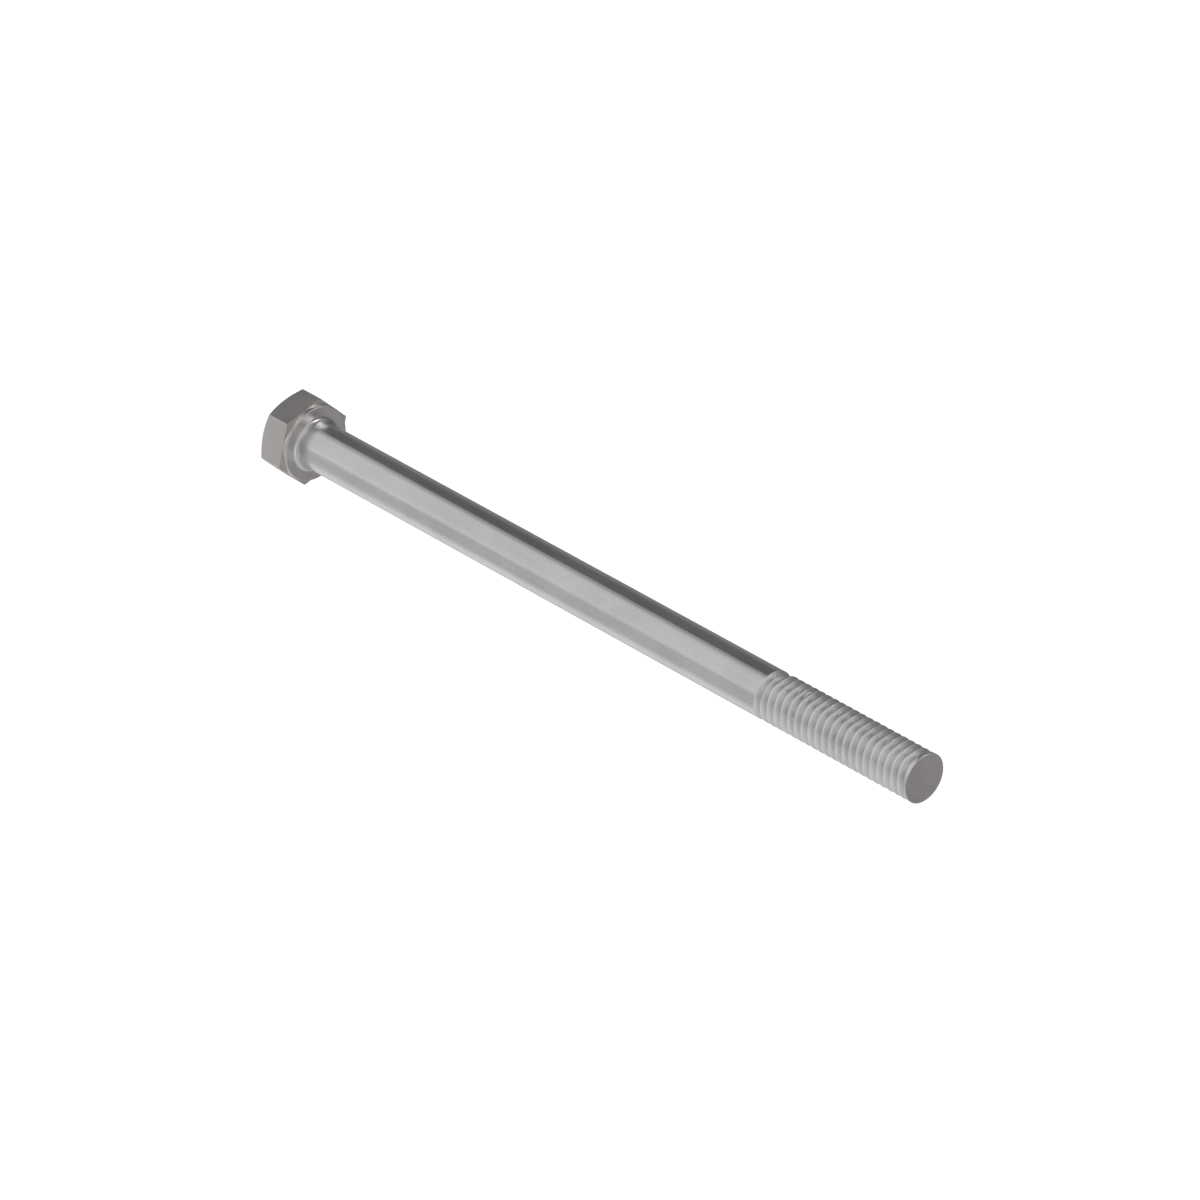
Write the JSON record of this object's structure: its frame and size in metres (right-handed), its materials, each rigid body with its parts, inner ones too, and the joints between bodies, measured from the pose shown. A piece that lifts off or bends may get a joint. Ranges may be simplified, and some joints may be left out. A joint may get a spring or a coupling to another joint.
{
  "type": "hex bolt",
  "caption": "Long steel hex bolt: hexagon head with a raised washer face, plain shank, and a right-hand thread up to a square-cut point.",
  "frame": {"origin": "centre of the bearing face, the flat under the head that rests on the work", "axes": "+X along the bolt's axis from the head to the point, +Z square to a wrench flat, so two corners of the hexagon point along Y"},
  "size_m": [0.1393, 0.0146, 0.0126],
  "materials": {
    "forged_head": "plain steel, satin, faint forging and tumbling marks",
    "bearing_ring": "plain steel, satin, fine circular marks",
    "drawn_shank": "plain steel, smooth semi-bright, faint marks along the draw",
    "rolled_thread": "plain steel, burnished flanks and crests",
    "cut_point": "plain steel, satin cut face"
  },
  "bodies": {
    "root": {"hex_head": "forged_head", "washer_face": "bearing_ring", "underhead_fillet": "drawn_shank", "shank": "drawn_shank", "thread": "rolled_thread", "point": "cut_point"}
  },
  "joints": []
}
